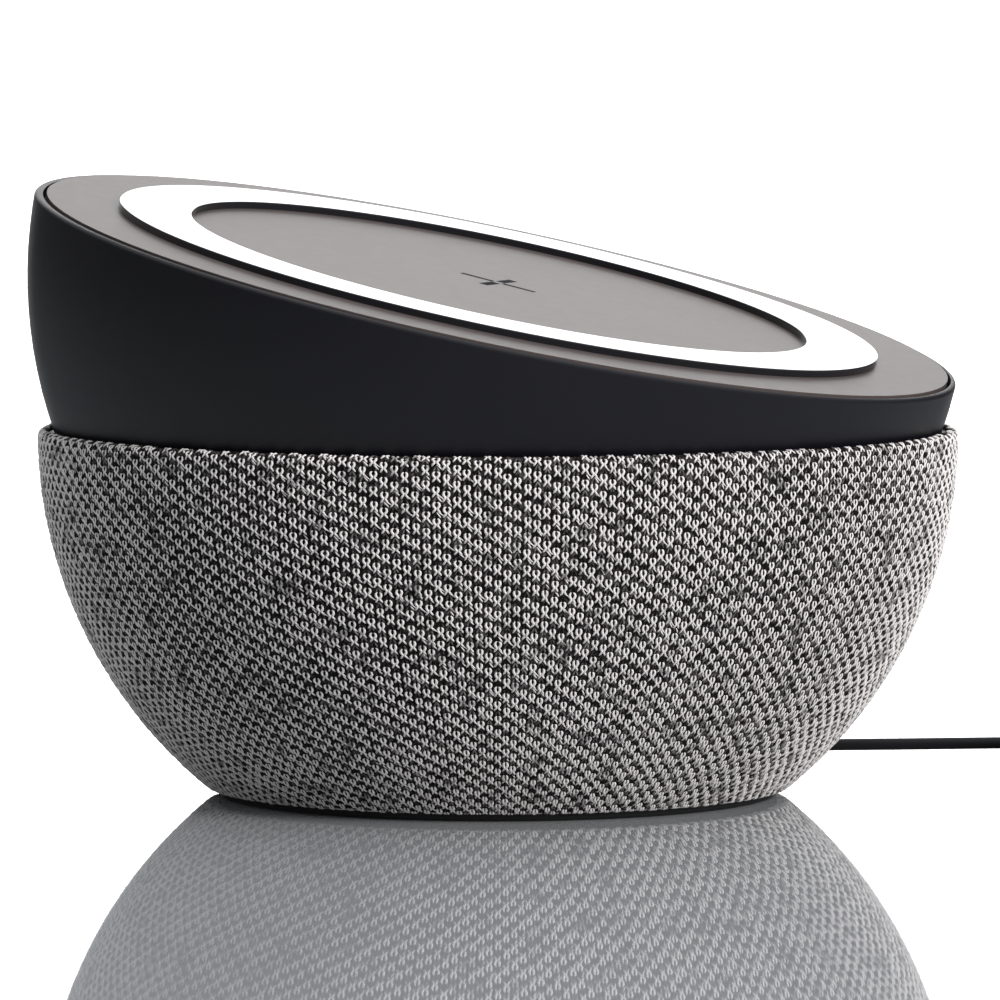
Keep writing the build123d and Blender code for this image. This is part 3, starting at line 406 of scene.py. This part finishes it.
def lathe(name, section, segments=256):
    """A closed surface of revolution from a closed (radius, height) section in mm."""
    angles = np.linspace(0, 2 * np.pi, segments, endpoint=False)
    radii, heights = section[:, 0], section[:, 1]
    vertices = np.empty((segments, len(section), 3))
    vertices[:, :, 0] = np.sin(angles)[:, None] * radii
    vertices[:, :, 1] = -np.cos(angles)[:, None] * radii
    vertices[:, :, 2] = heights
    ring = np.arange(len(section))
    here = np.arange(segments)[:, None] * len(section)
    there = np.roll(here, -1, axis=0)
    after = np.roll(ring, -1)
    faces = np.stack([here + ring, there + ring, there + after, here + after], axis=-1).reshape(-1, 4)
    return mesh_object(name, vertices.reshape(-1, 3) * MM, faces)


def mesh_object(name, vertices, quads):
    """A smooth-shaded object from vertices in metres and quads."""
    mesh = bpy.data.meshes.new(name)
    mesh.vertices.add(len(vertices))
    mesh.vertices.foreach_set("co", np.ascontiguousarray(vertices, dtype=np.float32).ravel())
    mesh.loops.add(quads.size)
    mesh.loops.foreach_set("vertex_index", np.ascontiguousarray(quads, dtype=np.int32).ravel())
    mesh.polygons.add(len(quads))
    mesh.polygons.foreach_set("loop_start", np.arange(0, quads.size, 4, dtype=np.int32))
    mesh.update(calc_edges=True)
    mesh.validate()
    mesh.shade_smooth()
    piece = bpy.data.objects.new(name, mesh)
    bpy.context.collection.objects.link(piece)
    return piece


# The lattice of the knit: wales are columns of stitches up the bowl, and every second stitch of one is light.
WALES = 300
STITCH_REPEAT = 2.48  # the usual length from a light stitch to the next in its wale
REPEATS = 30  # in a wale, which is enough to pass the rim
SQUEEZE = 0.10  # how much closer the wales stand in some bands up the bowl
SQUEEZE_BANDS = 3
SQUEEZE_ANGLE = 0.42  # of the band just right of the front
SIDE_SQUEEZE = 0.05  # how much closer they stand on the right side, and wider on the left
COURSE_DROP = 0.41  # of a repeat, from a wale to the next on its right. It closes up after all the wales.
GIVE_POWER = 0.6  # how far a wale's stitches grow longer as its neighbours crowd it
LONGER_BELOW = 64.0  # stitches lower than this along the bowl are longer
LENGTH_HIGH = 0.98  # of the usual, above that
LENGTH_ADDED_LOW = 0.2  # more than that at the bowl's lower edge
LENGTH_FADE = 1.5  # the power by which that fades out on the way up


def wale_angle(index):
    """A wale's angle round the bowl. They aren't spaced quite evenly, as the sleeve was pulled on by hand."""
    even = np.asarray(index, dtype=float) * 2 * np.pi / WALES - np.pi
    bands = SQUEEZE / SQUEEZE_BANDS * np.sin(SQUEEZE_BANDS * (even - SQUEEZE_ANGLE))
    return even + SIDE_SQUEEZE * np.cos(even) - bands


def crowding(index):
    """How much closer than usual the wales stand at a wale."""
    return 2 * (2 * np.pi / WALES) / (wale_angle(np.asarray(index) + 1) - wale_angle(np.asarray(index) - 1))


def stitch_lengths(index):
    """Where a wale's stitches stand along the bowl. They are longer low down, where the wales crowd."""
    stretch = float(crowding(index)) ** GIVE_POWER
    lengths = [-STITCH_REPEAT * (1 + index * COURSE_DROP % 1)]
    for _ in range(REPEATS):
        down = max(0.0, (LONGER_BELOW - max(0.0, lengths[-1])) / LONGER_BELOW)
        share = LENGTH_HIGH + LENGTH_ADDED_LOW * down**LENGTH_FADE
        lengths.append(lengths[-1] + STITCH_REPEAT * stretch * share)
    return np.array(lengths)


outline = sleeve_outline(0.0)
along = lengths_along(outline)
ground_outline = sleeve_outline(CLOTH_DEPTH)
lip_radius, lip_height = ground_outline[-1]
lining_top = [(lip_radius, lip_height - LIP_THICKNESS), (LINING_RADIUS, SLEEVE_TOP - LINING_START)]
lining_end = -math.acos(HEM_RADIUS / LINING_RADIUS)
lining = arc_points((0.0, BOWL_CENTRE_HEIGHT), LINING_RADIUS, LINING_START_ANGLE, lining_end, count=24)
knit_ground = lathe("knit_ground", np.vstack([ground_outline, lining_top, lining]))


# The yarn's paths are in wale widths across, repeats up, mm of lift and shares of the yarn's usual width.
# Half of a light stitch: a leg that comes up from under the stitch below, a waist, and a round head whose
# arms curl together before they go down behind the stitch above.
HALF_STITCH = [
    (-0.36, -0.30, -0.15, 0.8),
    (-0.26, -0.19, -0.01, 0.95),
    (-0.11, -0.05, 0.05, 1.05),
    (-0.10, 0.02, 0.06, 1.1),
    (-0.215, 0.10, 0.06, 1.2),
    (-0.28, 0.20, 0.05, 1.2),
    (-0.255, 0.30, 0.01, 1.1),
    (-0.16, 0.37, -0.09, 0.85),
]
STITCH_TOP = (0.0, 0.39, -0.3, 0.6)
# The yarn's way on from a right leg to the waist of the next wale's light stitch.
LINK = [
    (0.20, -0.15, -0.05, 0.6),
    (0.38, -0.25, -0.02, 0.55),
    (0.56, -0.34, -0.05, 0.55),
    (0.72, -0.42, -0.16, 0.5),
]
LINK_SHARE = 0.28  # of the light stitches have one that shows
# A light strand that slants down under some stitches.
SLANT = [
    (0.02, -0.20, -0.14, 0.6),
    (0.18, -0.31, -0.03, 0.7),
    (0.34, -0.43, -0.04, 0.7),
    (0.48, -0.54, -0.16, 0.6),
]
SLANT_SHARE = 0.35
# Half of the part of a dark stitch that shows: its leg, up to under the legs of the light stitch above it.
HALF_DARK = [(-0.33, -0.16, -0.20, 0.8), (-0.25, -0.02, -0.07, 0.8), (-0.13, 0.15, -0.02, 0.8)]
DARK_TOP = (0.0, 0.27, -0.06, 0.8)
# Stitches keep this far from the cloth's two edges.
HEM_MARGIN = 0.8
RIM_MARGIN = 0.5
PATHS_SINK = 0.05  # how far the top of a strand of no lift lies under the sleeve's outside
# The links and slants come and go in rows of patches round the bowl. A rate is in radians to a mm along the
# bowl, and a sway in radians: it shifts the patches, so that they don't stand in a grid.
PATCHES_ROUND = 19
PATCH_CONTRAST = 0.9
PATCH_RATE = 0.21
SIDE_SWAY = 1.7
SIDE_SWAY_RATE = 0.13
ROW_SWAY = 1.3
ROW_SWAYS_ROUND = 5
# How much stitches differ: shares of a path's width and height, of a wale, of a repeat, and mm of lift.
WIDTH_SPREAD = 0.06
SIDE_SPREAD = 0.03
HEIGHT_SPREAD = 0.04
UP_SPREAD = 0.02
LIFT_SPREAD = 0.02
POINT_LIFT_SPREAD = 0.012


def mirrored(half, top):
    """A whole path from its left half and its top."""
    right = [(-across, up, lift, width) for across, up, lift, width in reversed(half)]
    return np.array([*half, top, *right])


def place_on_bowl(angle, length, lift):
    """Points in mm at an angle round the bowl, a length along it and a lift off the yarns' middle surface."""
    radius = np.interp(length, along, outline[:, 0])
    height = np.interp(length, along, outline[:, 1])
    slope = np.gradient(outline, along, axis=0)
    out_r = np.interp(length, along, slope[:, 1])
    out_z = np.interp(length, along, -slope[:, 0])
    size = np.hypot(out_r, out_z)
    outward = lift - YARN_HALF_THICKNESS - PATHS_SINK
    radius = radius + outward * out_r / size
    height = height + outward * out_z / size
    return np.stack([np.sin(angle) * radius, -np.cos(angle) * radius, height], axis=-1)


def stitch_places(wales, shift):
    """The wale, length and repeat of every stitch of a range of wales, that share of a repeat up the bowl."""
    places = []
    for wale in wales:
        lengths = stitch_lengths(wale)
        for here, after in zip(lengths, lengths[1:]):
            repeat = after - here
            middle = here + shift * repeat
            if along[0] + HEM_MARGIN < middle + 0.5 * repeat and middle < along[-1] - RIM_MARGIN:
                places.append((wale, middle, repeat))
    return np.array(places)


def yarn_tubes(places, path, chance):
    """Closed tubes of diamond section along the path at every place, as vertices in mm and quads."""
    count, rings = len(places), len(path)
    wale, here, repeat = (places[:, k, None] for k in range(3))
    wobble = chance.normal(0.0, 1.0, (count, 5, 1))
    across = path[:, 0] * (1 + WIDTH_SPREAD * wobble[:, 0]) + SIDE_SPREAD * wobble[:, 1]
    up = path[:, 1] * (1 + HEIGHT_SPREAD * wobble[:, 2]) + UP_SPREAD * wobble[:, 3]
    lift = path[:, 2] + LIFT_SPREAD * wobble[:, 4] + chance.normal(0.0, POINT_LIFT_SPREAD, (count, rings))
    angle = wale_angle(wale + across)
    length = np.clip(here + up * repeat, along[0], along[-1])
    centre = place_on_bowl(angle, length, lift)
    normal = place_on_bowl(angle, length, lift + 1.0) - centre
    normal /= np.linalg.norm(normal, axis=-1, keepdims=True)
    side = np.cross(np.gradient(centre, axis=1), normal)
    side /= np.maximum(np.linalg.norm(side, axis=-1, keepdims=True), 1e-9)
    side *= YARN_HALF_WIDTH * path[:, 3, None]
    normal *= YARN_HALF_THICKNESS
    vertices = np.stack([centre + corner for corner in (side, -normal, -side, normal)], axis=2)
    ring, corner = np.meshgrid(np.arange(rings - 1), np.arange(4), indexing="ij")
    turn = (corner + 1) % 4
    body = np.stack([ring * 4 + corner, ring * 4 + turn, ring * 4 + 4 + turn, ring * 4 + 4 + corner], axis=-1)
    last = 4 * (rings - 1)
    caps = np.array([[3, 2, 1, 0], [last, last + 1, last + 2, last + 3]])
    faces = np.concatenate([body.reshape(-1, 4), caps])
    faces = faces[None] + (np.arange(count) * rings * 4)[:, None, None]
    return vertices.reshape(-1, 3), faces.reshape(-1, 4)


def joined(name, tubes):
    """One object from several sets of vertices in mm and faces."""
    vertices, faces, start = [], [], 0
    for points, quads in tubes:
        vertices.append(points * MM)
        faces.append(quads + start)
        start += len(points)
    return mesh_object(name, np.concatenate(vertices), np.concatenate(faces))


def patchiness(places):
    """How many strands show at each place, as a share of the usual. It is about 1 on average."""
    angle, here = places[:, 0] * 2 * np.pi / WALES, places[:, 1]
    across = np.sin(PATCHES_ROUND * angle + SIDE_SWAY * np.sin(SIDE_SWAY_RATE * here))
    up = np.cos(PATCH_RATE * here + ROW_SWAY * np.sin(ROW_SWAYS_ROUND * angle))
    return 1 + PATCH_CONTRAST * across * up


def some(places, share, chance):
    """About that share of the places, picked by chance."""
    return places[chance.random(len(places)) < share * patchiness(places)]


def light_stitch_tubes(name, wales, chance):
    """The light stitches of a range of wales, with the strands between them that show."""
    places = stitch_places(wales, 0.0)
    stitches = yarn_tubes(places, mirrored(HALF_STITCH, STITCH_TOP), chance)
    links = yarn_tubes(some(places, LINK_SHARE, chance), np.array(LINK), chance)
    slants = yarn_tubes(some(places, SLANT_SHARE, chance), np.array(SLANT), chance)
    return joined(name, [stitches, links, slants])


def dark_stitch_tubes(name, wales, chance):
    """The dark stitches between them."""
    places = stitch_places(wales, 0.5)
    return joined(name, [yarn_tubes(places, mirrored(HALF_DARK, DARK_TOP), chance)])


SECTORS = 8
light_stitches, dark_stitches = [], []
for sector in range(SECTORS):
    sector_wales = range(sector * WALES // SECTORS, (sector + 1) * WALES // SECTORS)
    seeded = np.random.default_rng(sector)
    light_stitches.append(light_stitch_tubes(f"light_stitches_{sector + 1}", sector_wales, seeded))
    dark_stitches.append(dark_stitch_tubes(f"dark_stitches_{sector + 1}", sector_wales, seeded))


def fuzz(shader, weight, tint):
    """The fine fibres that stand off a yarn and catch the light at its edges."""
    shader.inputs["Sheen Weight"].default_value = weight
    shader.inputs["Sheen Roughness"].default_value = 0.6
    shader.inputs["Sheen Tint"].default_value = (*tint, 1.0)


def light_yarn():
    """Off-white spun yarn, with stitches here and there that are dull and grey."""
    material, tree, shader = new_material("light_yarn", (0.74, 0.71, 0.67), 0.85, specular=0.25)
    dull = remap(tree, noise(tree, scale=280.0, detail=4.0, roughness=0.75), 0.54, 0.63, 0.0, 1.0)
    yarn = two_colours(tree, dull, (0.79, 0.765, 0.758), (0.24, 0.232, 0.23))
    tree.links.new(yarn, shader.inputs["Base Color"])
    fuzz(shader, 0.15, (1.0, 0.93, 0.89))
    bump(tree, shader, noise(tree, scale=9000.0, detail=2.0), 0.05 * MM)
    return material


def flecked_yarn(name, base, ground, fibre, fleck_scale, fleck_edges, specular, fuzz_weight, lint_mm):
    """Dark yarn, flecked with lighter fibre where a noise passes from the first edge to the second."""
    material, tree, shader = new_material(name, base, 0.95, specular=specular)
    flecks = remap(tree, noise(tree, scale=fleck_scale, roughness=0.6), *fleck_edges, 0.0, 1.0)
    tree.links.new(two_colours(tree, flecks, ground, fibre), shader.inputs["Base Color"])
    fuzz(shader, fuzz_weight, (1.0, 0.9, 0.85))
    bump(tree, shader, noise(tree, scale=3000.0, detail=2.0), lint_mm * MM)
    return material


LIGHT_YARN = light_yarn()
DARK_YARN = flecked_yarn(
    "dark_yarn",
    base=(0.01, 0.0095, 0.0095),
    ground=(0.005, 0.0045, 0.005),
    fibre=(0.07, 0.066, 0.065),
    fleck_scale=900.0,
    fleck_edges=(0.5, 0.72),
    specular=0.1,
    fuzz_weight=0.03,
    lint_mm=0.15,
)
GREY_YARN = flecked_yarn(
    "grey_yarn",
    base=(0.08, 0.076, 0.074),
    ground=(0.008, 0.0075, 0.0075),
    fibre=(0.22, 0.21, 0.208),
    fleck_scale=700.0,
    fleck_edges=(0.45, 0.66),
    specular=0.12,
    fuzz_weight=0.04,
    lint_mm=0.1,
)
give_material(knit_ground, DARK_YARN)
for piece in light_stitches:
    give_material(piece, LIGHT_YARN)
for piece in dark_stitches:
    give_material(piece, GREY_YARN)
for piece in [knit_ground, *light_stitches, *dark_stitches]:
    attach(piece, "base")
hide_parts("fabric_sleeve")


# ---- stage and light ----
STAGE_RADIUS = 3.2
BACKDROP_HEIGHT = 1.8
BACKDROP_HALF_ANGLE = math.radians(20.0)
BACKDROP_GLOW = 3.1
FADE_START_HEIGHT = 1.0  # the backdrop's glow fades out from here to its top
FADE_START_SIDE = 0.5  # and from here to its sides
ROOM_GLOW = 0.06
DIFFUSER_GLOW = 1.15
DIFFUSER_EDGE = 0.3  # the sine of the height at which the sky starts to brighten
WALL_GLOW = 0.5
WALL_DIRECTION = Vector((0.9, -0.75, 0.0)).normalized()
AIM_HEIGHT = 0.05


def arithmetic(tree, operation, first, other=None, second=0.0):
    """A math node on one output, with another output or a number."""
    node = tree.nodes.new("ShaderNodeMath")
    node.operation = operation
    node.inputs[1].default_value = second
    tree.links.new(first, node.inputs[0])
    if other is not None:
        tree.links.new(other, node.inputs[1])
    return node.outputs["Value"]


def stage_floor():
    """A large glossy pale acrylic sheet."""
    bpy.ops.mesh.primitive_circle_add(vertices=96, radius=STAGE_RADIUS, fill_type="NGON")
    floor = bpy.context.object
    floor.name = "stage_floor"
    material, _, shader = new_material("stage_floor", (0.38, 0.395, 0.41), 0.02)
    shader.inputs["IOR"].default_value = 1.5
    give_material(floor, material)


def stage_backdrop():
    """A glowing white wall behind the object, which fades out at its top and sides."""
    angles = math.pi / 2 + np.linspace(-BACKDROP_HALF_ANGLE, BACKDROP_HALF_ANGLE, 25)
    low = [(STAGE_RADIUS * math.cos(a), STAGE_RADIUS * math.sin(a), 0.0) for a in angles]
    high = [(x, y, BACKDROP_HEIGHT) for x, y, _ in low]
    count = len(angles)
    quads = np.array([(i, i + 1, i + 1 + count, i + count) for i in range(count - 1)])
    backdrop = mesh_object("stage_backdrop", np.array(low + high), quads)
    material, tree, shader = new_material("stage_backdrop", (0.0, 0.0, 0.0), 0.9, specular=0.0)
    shader.inputs["Emission Color"].default_value = (1.0, 1.0, 1.0, 1.0)
    axes = tree.nodes.new("ShaderNodeSeparateXYZ")
    tree.links.new(stretched_coordinates(tree), axes.inputs["Vector"])
    sideways = arithmetic(tree, "ABSOLUTE", axes.outputs["X"])
    half_width = STAGE_RADIUS * math.sin(BACKDROP_HALF_ANGLE)
    upward = remap(tree, axes.outputs["Z"], FADE_START_HEIGHT, BACKDROP_HEIGHT, 1.0, 0.0)
    outward = remap(tree, sideways, FADE_START_SIDE, half_width, 1.0, 0.0)
    glow = arithmetic(tree, "MULTIPLY", upward, outward)
    strength = arithmetic(tree, "MULTIPLY", glow, second=BACKDROP_GLOW)
    tree.links.new(strength, shader.inputs["Emission Strength"])
    give_material(backdrop, material)


def area_light(name, place, size, power, colour):
    """A soft square light that faces the object and has no mirror image in the glossy floor and plate."""
    data = bpy.data.lights.new(name, "AREA")
    data.shape = "SQUARE"
    data.size = size
    data.energy = power
    data.color = colour
    light = bpy.data.objects.new(name, data)
    light.location = place
    aim = light.location - Vector((0.0, 0.0, AIM_HEIGHT))
    light.rotation_euler = aim.to_track_quat("Z", "Y").to_euler()
    light.visible_glossy = False
    bpy.context.collection.objects.link(light)


def soft_box_sky():
    """Dim surroundings, brighter overhead as under a wide diffuser, and at the front right as by a wall."""
    world = bpy.data.worlds.new("studio")
    world.use_nodes = True
    tree = world.node_tree
    background = tree.nodes["Background"]
    background.inputs["Color"].default_value = (0.95, 0.97, 1.0, 1.0)
    direction = tree.nodes.new("ShaderNodeTexCoord")
    axes = tree.nodes.new("ShaderNodeSeparateXYZ")
    tree.links.new(direction.outputs["Generated"], axes.inputs["Vector"])
    overhead = remap(tree, axes.outputs["Z"], DIFFUSER_EDGE, 1.0, ROOM_GLOW, DIFFUSER_GLOW)
    towards_wall = tree.nodes.new("ShaderNodeVectorMath")
    towards_wall.operation = "DOT_PRODUCT"
    towards_wall.inputs[1].default_value = WALL_DIRECTION
    tree.links.new(direction.outputs["Generated"], towards_wall.inputs[0])
    wall = remap(tree, towards_wall.outputs["Value"], 0.0, 1.0, 0.0, WALL_GLOW)
    tree.links.new(arithmetic(tree, "ADD", overhead, wall), background.inputs["Strength"])
    bpy.context.scene.world = world


stage_floor()
stage_backdrop()
area_light("key", place=(1.5, -1.3, 0.9), size=0.9, power=46.0, colour=(1.0, 0.97, 0.95))
area_light("fill", place=(-1.7, -1.0, 0.3), size=1.2, power=5.0, colour=(1.0, 0.97, 0.96))
soft_box_sky()
